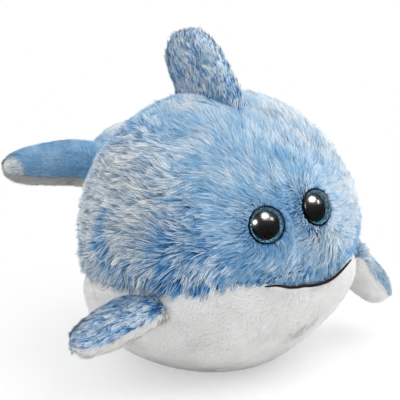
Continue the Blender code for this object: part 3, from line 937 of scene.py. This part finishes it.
def clear_of_lobes(points, room):
    clear = np.ones(len(points), bool)
    for key in FRAMES:
        clear &= ~inside_lobe(points, key, room)
    return clear


def smoothness(place):
    """1 where the ball's pile lies smooth and 0 where it is ruffled."""
    return ease(place @ SMOOTH_SIDE, -0.28, 0.18)


def behind_limb(points):
    """1 behind the outline that the photo shows, and 0 in front of it."""
    return ease(points[:, 1], 0.015, 0.050)


def blue_hair(points, turn, latitude, draw):
    """The measures of the ball's blue hairs: frosted and ruffled low on the right side,
    grey on the right flank, smooth and pale on the other side."""
    count = len(points)
    place = (points - CENTRE) / BALL_RADIUS
    smooth = smoothness(place) * (1.0 - 0.30 * hill(place, MUZZLE_PIXEL, 0.50))
    muzzle = hill(place, MUZZLE_PIXEL, 0.45)
    behind = behind_limb(points)
    distance, _ = from_eyes(points)
    around_eyes = 1.0 - ease(distance, EYE_RADIUS + 0.002, EYE_RADIUS + 0.009)
    calm = np.clip(hill(place, CALM_PIXEL, 0.70) + 0.7 * muzzle + 0.8 * around_eyes, 0.0, 1.0)
    band = bump(turn, latitude, *DEEP_BAND)
    patches = bump(turn, latitude, *FLANK_PATCH) + 0.7 * bump(turn, latitude, *LOW_PATCH)
    pale = ease(place[:, 0], -0.20, 0.35) * ease(place[:, 2], -0.15, 0.35)
    top = ease(place[:, 2], 0.55, 0.92)

    tone = TONE["base"] + TONE["waves"] * (waves(points, 0.034, 21) + waves(points, 0.012, 22))
    tone += TONE["pale"] * pale + TONE["top"] * top + TONE["behind"] * behind
    tone += TONE["band"] * band + TONE["patches"] * patches + tone_patches(place)
    spread = blend(smooth, blend(muzzle, TONE_SPREAD["ruffled"], TONE_SPREAD["muzzle"]),
                   blend(calm, TONE_SPREAD["smooth"], TONE_SPREAD["calm"]))
    tone += draw.normal(0.0, 1.0, count) * spread
    grey = ease(-place[:, 0], 0.50, 0.80) * (1.0 - 0.8 * np.clip(band + patches, 0.0, 1.0))
    grey = np.maximum(grey, 0.55 * pale * ease(place[:, 0], 0.2, 0.7))
    pick = draw.random(count)
    family = np.where(pick < grey, GREY, np.where(draw.random(count) < smooth, SMOOTH, FROSTED))

    upright = 1.0 - ease(distance, EYE_RADIUS + 0.0005, EYE_RADIUS + 0.0055)
    to_seam = np.radians(latitude - seam_latitude(turn)) * BALL_RADIUS
    lip = (1.0 - beside_mouth(turn)) * (1.0 - ease(to_seam, 0.001, 0.010))
    hair = {key: blend(smooth, RUFFLED[key], blend(calm, SMOOTHED[key], CALMED[key]))
            for key in RUFFLED}
    length = blend(calm, LENGTH, CALM_LENGTH) * draw.uniform(0.75, 1.25, count)
    hair["length"] = length * blend(upright, 1.0, 0.36) * blend(lip, 1.0, 0.45)
    hair["width"] = hair["width"] * draw.uniform(0.7, 1.3, count)
    hair["lift"] = blend(behind, blend(upright, hair["lift"], EYE_LIFT), BEHIND_LIFT)
    hair["lay"] = blend(upright, hair["lay"], EYE_LAY)
    hair["pull"] = hair["pull"] * blend(upright, 1.0, 0.3) * blend(behind, 1.0, 0.3)
    return dict(hair, tone=tone, family=family)


def cover_side(name, side):
    turns = (0.0, 180.0) if side > 0 else (-180.0, 0.0)
    skin = ball_skin(name + "_plush", turns, True, BODY_PILE)
    dress(skin, "blue_plush", BLUE_FABRIC, name + "_cover")

    turn, latitude = scatter_ball(BALL_HAIRS, 31)
    keep = (latitude > seam_latitude(turn) + 0.2) & (turn * side > 0.0)
    turn, latitude = turn[keep], latitude[keep]
    draw = np.random.default_rng(41 if side > 0 else 42)
    roots = ball_points(turn, latitude, skin_inset(turn, latitude, BODY_PILE))
    distance, _ = from_eyes(roots)
    rise = EYE_RAISE * (1.0 - ease(distance, EYE_RADIUS + 0.0002, EYE_RADIUS + 0.005))
    roots += unit(roots - CENTRE) * rise[:, None]
    rough = (1.0 - smoothness(unit(roots - CENTRE))) * (1.0 - behind_limb(roots))
    keep = (distance > EYE_RADIUS - 0.0003) & clear_of_lobes(roots, LOBE_ROOM)
    keep &= draw.random(len(roots)) > ROUGH_THINNING * rough
    turn, latitude, roots = turn[keep], latitude[keep], roots[keep]
    normals = ball_normals(turn, latitude, 0.0)
    combs = body_comb(roots, normals, turn, latitude)
    hair = blue_hair(roots, turn, latitude, draw)
    pile = grow(name + "_pile", roots, normals, combs, hair, HAIR_LOOK, 51 if side > 0 else 52)
    dress(pile, "blue_plush", BLUE_PILE)


def cover_belly():
    skin = ball_skin("belly_plush", (-180.0, 180.0), False, BELLY_PILE, columns=120)
    dress(skin, "white_plush", WHITE_FABRIC, "belly_cover")
    turn, latitude = scatter_ball(BELLY_HAIRS, 32)
    keep = latitude < seam_latitude(turn) - blend(beside_mouth(turn), 1.7, 0.5)
    turn, latitude = turn[keep], latitude[keep]
    roots = ball_points(turn, latitude, skin_inset(turn, latitude, BELLY_PILE))
    keep = (roots[:, 2] > LOWEST_ROOT) & clear_of_lobes(roots, LOBE_ROOM)
    turn, latitude, roots = turn[keep], latitude[keep], roots[keep]
    normals = ball_normals(turn, latitude, 0.0)
    draw = np.random.default_rng(43)
    combs = tangent(np.tile((0.0, 1.0, -0.3), (len(roots), 1)), normals)
    combs = turned_about(combs, normals, 0.7 * waves(roots, 0.026, 13))
    tone = 0.76 + 0.18 * waves(roots, 0.016, 23) + draw.normal(0.0, 0.04, len(roots))
    hair = dict(BELLY_HAIR, tone=tone,
                length=BELLY_LENGTH * draw.uniform(0.85, 1.15, len(roots)))
    pile = grow("belly_pile", roots, normals, combs, hair, SHORT_LOOK, 53)
    dress(pile, "white_plush", WHITE_PILE)


# The fins, the flippers and the tail

LOBE_LOOK = dict(HAIR_LOOK, stray=0.24, tuft_share=0.09)
FROSTED_HAIR = {"length": 0.0046, "width": 0.00044, "lift": 46.0, "lay": 8.0, "bend": 1.8,
                "pull": 0.70, "tuft_tone": 0.32, "fuzz": 0.18, "mix": 0.34}
SOFT_WHITE_HAIR = dict(FROSTED_HAIR, length=0.0046, lay=8.0, bend=2.0, pull=0.4,
                       tuft_tone=0.10, fuzz=0.08, mix=0.12)
FINE_WHITE_HAIR = dict(SOFT_WHITE_HAIR, length=0.0024, width=0.00042, lift=38.0, lay=8.0,
                       tuft_tone=0.02, fuzz=0.0, mix=0.03, pull=0.0)
PALE_HAIR = dict(FROSTED_HAIR, length=0.0040, width=0.00050, pull=0.4, tuft_tone=0.08,
                 fuzz=0.05, mix=0.10)
VELOUR_HAIR = {"length": 0.0036, "width": 0.00048, "lift": 55.0, "lay": 6.0, "bend": 2.4,
               "pull": 0.3, "tuft_tone": 0.05, "fuzz": 0.05, "mix": 0.07}

# Hairs per square metre
LOBE_DENSITY = 5.2e6
TAIL_DENSITY = 6.0e6
TAIL_PILE = LOBE_PILE * 0.65


def tail_comb(points):
    """Along the stalk, then out along each fluke."""
    span = np.array(FRAMES["tail"].to_3x3().col[0])
    chord = np.array(FRAMES["tail"].to_3x3().col[1])
    across = (points - np.array(FRAMES["tail"].translation)) @ span
    outward = ease(np.abs(across), 0.004, 0.020) * np.sign(across) * 1.6
    return chord + outward[:, None] * span


def white_tip(points):
    """1 where the flukes' tips are white, across their front corners."""
    back = np.array(FRAMES["tail"].inverted())
    local = points @ back[:3, :3].T + back[:3, 3]
    reach = np.abs(local[:, 0]) + 0.5 * np.maximum(0.050 - local[:, 1], 0.0)
    return ease(reach, 0.0415, 0.0450)


def cover_lobe(key, panels, density, inset):
    """Two fabric panels and their pile. panels holds a row for the +Z and the -Z side."""
    meshes = split_lobe(key, inset, [row["name"] + "_plush" for row in panels])
    span = np.array(FRAMES[key].to_3x3().col[0])
    chord = np.array(FRAMES[key].to_3x3().col[1])
    for mesh, row in zip(meshes, panels):
        blue = row["families"] == 3
        slot, fabric, fibre = BLUE_CLOTH if blue else WHITE_CLOTH
        skin = new_object(row["name"] + "_plush", mesh)
        dress(skin, slot, fabric, row["node"])
        area = sum(polygon.area for polygon in mesh.polygons)
        roots, normals = scatter_mesh(mesh, int(area * density), row["seed"])
        keep = ~inside_body(roots, -0.0006)
        roots, normals = roots[keep], normals[keep]
        count = len(roots)
        draw = np.random.default_rng(row["seed"] + 1)
        way = tail_comb(roots) if key == "tail" else np.tile(span + chord * row["sweep"],
                                                             (count, 1))
        combs = tangent(way, normals)
        combs = turned_about(combs, normals, 0.45 * waves(roots, 0.018, row["seed"] + 2))
        hair = dict(row["hair"])
        mix = hair.pop("mix")
        tone = row["tone"] + 0.14 * waves(roots, 0.014, row["seed"] + 3)
        far_side = ease(roots[:, 0], -0.012, 0.006) * row["far_grey"]
        tip = white_tip(roots) if key == "tail" else np.zeros(count)
        if blue:
            far_side = np.maximum(far_side, tip)
        fuller = (1.0 + 0.6 * (far_side - tip) * blue) * (1.0 - 0.4 * tip)
        family = np.where(draw.random(count) < row["grey"] + far_side, GREY, row["family"])
        hair.update(tone=tone + 0.50 * far_side + draw.normal(0.0, mix, count), family=family,
                    length=hair["length"] * draw.uniform(0.75, 1.25, count) * fuller)
        look = dict(LOBE_LOOK, families=row["families"])
        pile = grow(row["name"] + "_pile", roots, normals, combs, hair, look, row["seed"] + 4)
        dress(pile, slot, fibre)


def panel(name, node, seed, hair, tone, family=FROSTED, grey=0.0, sweep=0.0, families=3,
          far_grey=0.0):
    return {"name": name, "node": node, "seed": seed, "hair": hair, "tone": tone,
            "family": family, "grey": grey, "sweep": sweep, "families": families,
            "far_grey": far_grey}


def cover_lobes():
    fin = [panel("dorsal_fin_" + side_name, "dorsal_fin_" + side_name + "_panel", seed,
                 FROSTED_HAIR, tone, grey=0.20, sweep=0.6)
           for side_name, seed, tone in (("right", 110, 0.63), ("left", 120, 0.5))]
    cover_lobe("fin", fin, LOBE_DENSITY, LOBE_PILE)
    for number, side_name in enumerate(("right", "left")):
        key = side_name + "_flipper"
        top, under = key + "_top", key + "_underside"
        if side_name == "left":
            blue = panel(top, top, 150, PALE_HAIR, 0.62, family=SMOOTH, grey=0.60)
            white_hair = FINE_WHITE_HAIR
        else:
            blue = panel(top, top, 130, FROSTED_HAIR, 0.60, grey=0.05)
            white_hair = SOFT_WHITE_HAIR
        white = panel(under, under, 140 + 20 * number, white_hair, 0.9, family=UNSHADED, families=2)
        up = FRAMES[key].to_3x3().col[2].z > 0.0
        cover_lobe(key, (blue, white) if up else (white, blue), LOBE_DENSITY, LOBE_PILE)
    cover_lobe("tail", (
        panel("tail_top", "tail_top", 170, VELOUR_HAIR, 0.40, family=SMOOTH, far_grey=0.9),
        # The tail's underside takes the painted-shade white, darker because it faces down into
        # shade
        panel("tail_underside", "tail_underside", 180,
              dict(VELOUR_HAIR, length=0.0044, lay=12.0, mix=0.1), 0.45,
              family=PAINTED_SHADE, families=2)), TAIL_DENSITY, TAIL_PILE)


# The eyes and the mouth


def turned_piece(name, profile, axis_frame, sides=72):
    """A closed profile of (radius, height) points turned about the frame's Z axis."""
    bm = bmesh.new()
    rings = []
    turns = [math.tau * side / sides for side in range(sides)]
    for radius, height in profile:
        if radius < 1e-7:
            rings.append([bm.verts.new((0.0, 0.0, height))])
        else:
            rings.append([bm.verts.new((radius * math.cos(turn), radius * math.sin(turn),
                                        height)) for turn in turns])
    join_rings(bm, rings, sides)
    bmesh.ops.recalc_face_normals(bm, faces=bm.faces)
    bm.transform(axis_frame)
    return new_object(name, mesh_from(bm, name))


def eye_frame(side_name):
    axis = EYE_AXES[side_name]
    made = Vector(axis).to_track_quat("Z", "Y").to_matrix().to_4x4()
    made.translation = Vector(CENTRE + axis * (BALL_RADIUS - EYE_SEAT_DEPTH))
    return made


LENS_SAMPLES = 4.0


def glitter_material():
    """Teal glitter: small flakes, each tilted its own way, some silver and some dark."""
    material, nodes, links, shader = new_material("eye_glitter_flakes")
    place = nodes.new("ShaderNodeTexCoord")
    flakes = add_node(nodes, "ShaderNodeTexVoronoi", {"Scale": 2600.0})
    links.new(place.outputs["Object"], flakes.inputs["Vector"])
    split = nodes.new("ShaderNodeSeparateColor")
    links.new(flakes.outputs["Color"], split.inputs[0])
    ramp = add_ramp(nodes, ((0.0, (0.004, 0.022, 0.045)), (0.35, (0.010, 0.090, 0.170)),
                            (0.68, (0.030, 0.240, 0.380)), (0.86, (0.120, 0.460, 0.620)),
                            (1.0, (0.750, 0.920, 0.970))))
    links.new(split.outputs[0], ramp.inputs[0])
    links.new(ramp.outputs[0], shader.inputs["Base Color"])
    set_inputs(shader, {"Specular IOR Level": 0.0, "Roughness": 0.6})
    add_bump(nodes, links, split.outputs[1], 0.8, 0.0002, shader)
    return material


def black_material(name, shine):
    """Moulded black plastic with faint flow marks."""
    return grained_material(name, 300.0, (0.0016, 0.0017, 0.0020), (0.0032, 0.0034, 0.0040),
                            roughness=0.3, specular=shine)


def lens_material():
    """Clear polished plastic: what is behind it shows, and its outer surface shines. The
    shine is spread over more samples of less strength, which keeps it free of specks."""
    material, nodes, links, shader = new_material("eye_lens_clear")
    clear = add_node(nodes, "ShaderNodeBsdfTransparent", {"Color": (0.97, 0.985, 0.99, 1.0)})
    gloss = add_node(nodes, "ShaderNodeBsdfGlossy",
                     {"Color": (*[1.0 / LENS_SAMPLES] * 3, 1.0), "Roughness": 0.22})
    edge = add_node(nodes, "ShaderNodeFresnel", {"IOR": 1.20})
    side = nodes.new("ShaderNodeNewGeometry")
    front = add_math(nodes, links, "SUBTRACT", 1.0, side.outputs["Backfacing"])
    strong = add_math(nodes, links, "MULTIPLY", edge.outputs[0], LENS_SAMPLES, use_clamp=True)
    share = add_math(nodes, links, "MULTIPLY", strong, front)
    mix_shaders(nodes, links, share, clear, gloss, nodes["Material Output"].inputs["Surface"])
    nodes.remove(shader)
    return material


def build_eyes():
    """Each eye is a black cup on a stem with a glitter bowl, a pupil and a clear dome."""
    glitter, lens = glitter_material(), lens_material()
    washer = grained_material("washer_milky", 400.0, (0.50, 0.51, 0.53), (0.58, 0.59, 0.61))
    shell_black = black_material("eye_black_plastic", 0.01)
    print_black = black_material("eye_black_print", 0.0)
    rim = EYE_RADIUS - EYE_RIM
    inside = rim - LENS_ROOM
    rim_low = LENS_EDGE - RIM_ROUND
    cup = [(0.0, CUP_FLOOR), (rim, CUP_FLOOR), (rim, rim_low)]
    for step in range(1, 8):
        turn = math.pi * step / 8.0
        cup.append((EYE_RADIUS - EYE_RIM / 2.0 - math.cos(turn) * EYE_RIM / 2.0,
                    rim_low + math.sin(turn) * RIM_ROUND))
    cup += [(EYE_RADIUS, rim_low), (EYE_RADIUS, CUP_LOW + CUP_BEVEL),
            (EYE_RADIUS - CUP_BEVEL, CUP_LOW), (STEM_RADIUS, CUP_LOW), (STEM_RADIUS, STEM_LOW),
            (0.0, STEM_LOW)]
    bowl = [(0.0, BOWL_FLOOR), (inside - 0.0009, BOWL_FLOOR),
            (inside - 0.0005, BOWL_FLOOR + 0.0002), (inside - 0.0003, BOWL_FLOOR + 0.0006),
            (inside - 0.0002, LENS_LOW), (inside, LENS_LOW), (inside, BOWL_FLOOR - 0.0002),
            (0.0, BOWL_FLOOR - 0.0002)]
    pupil = [(0.0, PUPIL_TOP), (PUPIL_RADIUS - 0.0001, PUPIL_TOP),
             (PUPIL_RADIUS, PUPIL_TOP - 0.0001), (PUPIL_RADIUS, BOWL_FLOOR + 0.0001),
             (0.0, BOWL_FLOOR + 0.0001)]
    curve = (inside ** 2 + LENS_RISE ** 2) / (2.0 * LENS_RISE)
    turns = [math.asin(inside / curve) * step / 32.0 for step in range(33)]
    dome = [(curve * math.sin(turn), LENS_EDGE + LENS_RISE - curve * (1.0 - math.cos(turn)))
            for turn in turns]
    dome += [(inside, LENS_LOW), (0.0, LENS_LOW)]
    for side_name in ("left", "right"):
        eye, seat = side_name + "_eye_", eye_frame(side_name)
        dress(turned_piece(eye + "cup", cup, seat), "eye_black", shell_black, eye + "back")
        dress(turned_piece(eye + "bowl", bowl, seat), "eye_glitter", glitter, eye + "iris")
        dress(turned_piece(eye + "pupil_disc", pupil, seat), "eye_black", print_black,
              eye + "pupil")
        dress(turned_piece(eye + "dome", dome, seat), "eye_lens", lens, eye + "lens")
        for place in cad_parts[eye + "washer"].material_slots:
            place.material = washer


def build_mouth(rings=420, sides=12, winds=60):
    """A dark thread, wound round itself, along the seam under the nose."""
    thread = grained_material("mouth_thread_brown", 1500.0, (0.008, 0.005, 0.005),
                              (0.026, 0.018, 0.017), detail=3.0, roughness=0.8, specular=0.01)
    share = np.linspace(-1.0, 1.0, rings)
    turn = MOUTH_MIDDLE + MOUTH_TURN * share
    middle = ball_points(turn, seam_latitude(turn), 0.0)
    middle = middle + ball_normals(turn, seam_latitude(turn), 0.0) * MOUTH_LIFT
    ways = unit(np.gradient(middle, axis=0))
    outward = tangent(middle - CENTRE, ways)
    upward = np.cross(ways, outward)
    size = MOUTH_CORD_RADIUS * (1.0 - 0.55 * np.abs(share) ** 3)
    size[0] = size[-1] = MOUTH_CORD_RADIUS * 0.2
    bm = bmesh.new()
    loops = []
    for ring in range(rings):
        loops.append([])
        for side in range(sides):
            angle = math.tau * side / sides
            radius = size[ring] * (0.90 + 0.12 * math.cos(winds * share[ring] * math.pi + angle))
            loops[-1].append(bm.verts.new(
                middle[ring] + outward[ring] * radius * math.cos(angle)
                + upward[ring] * radius * 1.25 * math.sin(angle)))
    join_rings(bm, loops, sides)
    bm.faces.new(loops[0])
    bm.faces.new(reversed(loops[-1]))
    bmesh.ops.recalc_face_normals(bm, faces=bm.faces)
    dress(new_object("mouth_stitches", mesh_from(bm, "mouth_stitches")), "mouth_thread", thread,
          "mouth_stitching")


CAMERA_CLIPS = (0.05, 50.0)
FLOOR_RADIUS = 6.0
FLOOR_DROP = 0.0002

# The studio. Each lamp has its way along the picture's right, up and towards the camera, its
# distance, its width and its power
AMBIENT = 0.80
LAMPS = {"key": ((0.75, 0.95, 0.65), 1.1, 0.9, 7.4),
         "fill": ((-0.6, 0.6, 0.9), 1.2, 1.1, 2.4),
         "large_catchlight": ((0.12, 0.77, 0.62), 1.2, 0.60, 400.0),
         "left_catchlight": ((-0.76, 0.25, 0.61), 1.2, 0.36, 155.0),
         "small_catchlight": ((0.63, 0.54, 0.56), 1.2, 0.20, 54.0)}


def floor_material():
    """Pale floor. Seen directly it glows white: half of it near the toy, which lightens the toy's
    shadow there with painted light, and all of it away from the toy, where it fades to the white
    backdrop.
    """
    material, nodes, links, shader = new_material("studio_floor")
    set_inputs(shader, {"Roughness": 0.9, "Specular IOR Level": 0.0,
                        "Base Color": (0.95, 0.95, 0.95, 1.0)})
    place = nodes.new("ShaderNodeTexCoord")
    length = add_node(nodes, "ShaderNodeVectorMath", operation="LENGTH")
    links.new(place.outputs["Object"], length.inputs[0])
    fade = add_node(nodes, "ShaderNodeMapRange",
                    {"From Min": 0.03, "From Max": 0.17, "To Min": 0.52},
                    interpolation_type="SMOOTHSTEP")
    links.new(length.outputs["Value"], fade.inputs["Value"])
    share = add_math(nodes, links, "MULTIPLY", seen_directly(nodes, links), fade.outputs[0])
    white = nodes.new("ShaderNodeEmission")
    mix_shaders(nodes, links, share, shader, white, nodes["Material Output"].inputs["Surface"])
    return material


def build_floor():
    bm = bmesh.new()
    bmesh.ops.create_circle(bm, cap_ends=True, radius=FLOOR_RADIUS, segments=64)
    floor = new_object("floor", mesh_from(bm, "floor"))
    floor.location.z = -FLOOR_DROP
    floor.data.materials.append(floor_material())


def build_world():
    world = bpy.data.worlds.new("studio")
    bpy.context.scene.world = world
    world.use_nodes = True
    nodes, links = world.node_tree.nodes, world.node_tree.links
    plain = nodes["Background"]
    set_inputs(plain, {"Color": (0.97, 0.98, 1.0, 1.0), "Strength": AMBIENT})
    white = add_node(nodes, "ShaderNodeBackground", {"Color": (1.0, 1.0, 1.0, 1.0)})
    mix_shaders(nodes, links, seen_directly(nodes, links), plain, white,
                nodes["World Output"].inputs["Surface"])


def add_lamp(name, way, distance, width, power):
    """A round lamp aimed at the ball. A catchlight only shows in the eyes, and the other
    lamps only light."""
    back, right, up = picture_axes()
    place = CENTRE + unit(right * way[0] + up * way[1] + back * way[2]) * distance
    light = bpy.data.lights.new(name, "AREA")
    light.shape = "DISK"
    light.size = width
    light.energy = power
    lamp = new_object(name, light)
    lamp.location = place
    lamp.rotation_euler = Vector(place - CENTRE).to_track_quat("Z", "Y").to_euler()
    lamp.visible_glossy = name.endswith("catchlight")
    lamp.visible_diffuse = not lamp.visible_glossy


def build_camera():
    back, _, _ = picture_axes()
    camera = bpy.data.cameras.new("photo_camera")
    camera.sensor_fit = "HORIZONTAL"
    camera.angle = 2.0 * math.atan(PICTURE_WIDTH / PIXELS_PER_METRE / 2.0 / CAMERA_DISTANCE)
    camera.shift_x = (PICTURE_WIDTH / 2.0 - CENTRE_PIXEL[0]) / PICTURE_WIDTH
    camera.shift_y = (CENTRE_PIXEL[1] - PICTURE_WIDTH / 2.0) / PICTURE_WIDTH
    camera.clip_start, camera.clip_end = CAMERA_CLIPS
    seen = new_object("photo_camera", camera)
    seen.location = Vector(CENTRE + back * CAMERA_DISTANCE)
    seen.rotation_euler = Vector(back).to_track_quat("Z", "Y").to_euler()
    bpy.context.scene.camera = seen


def dress_stuffing():
    """The fibre inside keeps its frame node and gets a fibre material."""
    fibre = fabric_material("fibre_fill", (0.74, 0.73, 0.70), (0.84, 0.83, 0.80))
    for title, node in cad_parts.items():
        if title.endswith("_stuffing"):
            for place in node.material_slots:
                place.material = fibre


BODY_TREE = body_tree()
build_camera()
cover_side("left_side", 1.0)
cover_side("right_side", -1.0)
cover_belly()
cover_lobes()
build_eyes()
build_mouth()
dress_stuffing()
build_floor()
build_world()
for lamp_name, lamp_values in LAMPS.items():
    add_lamp(lamp_name, *lamp_values)
bpy.context.scene.view_settings.view_transform = "Standard"
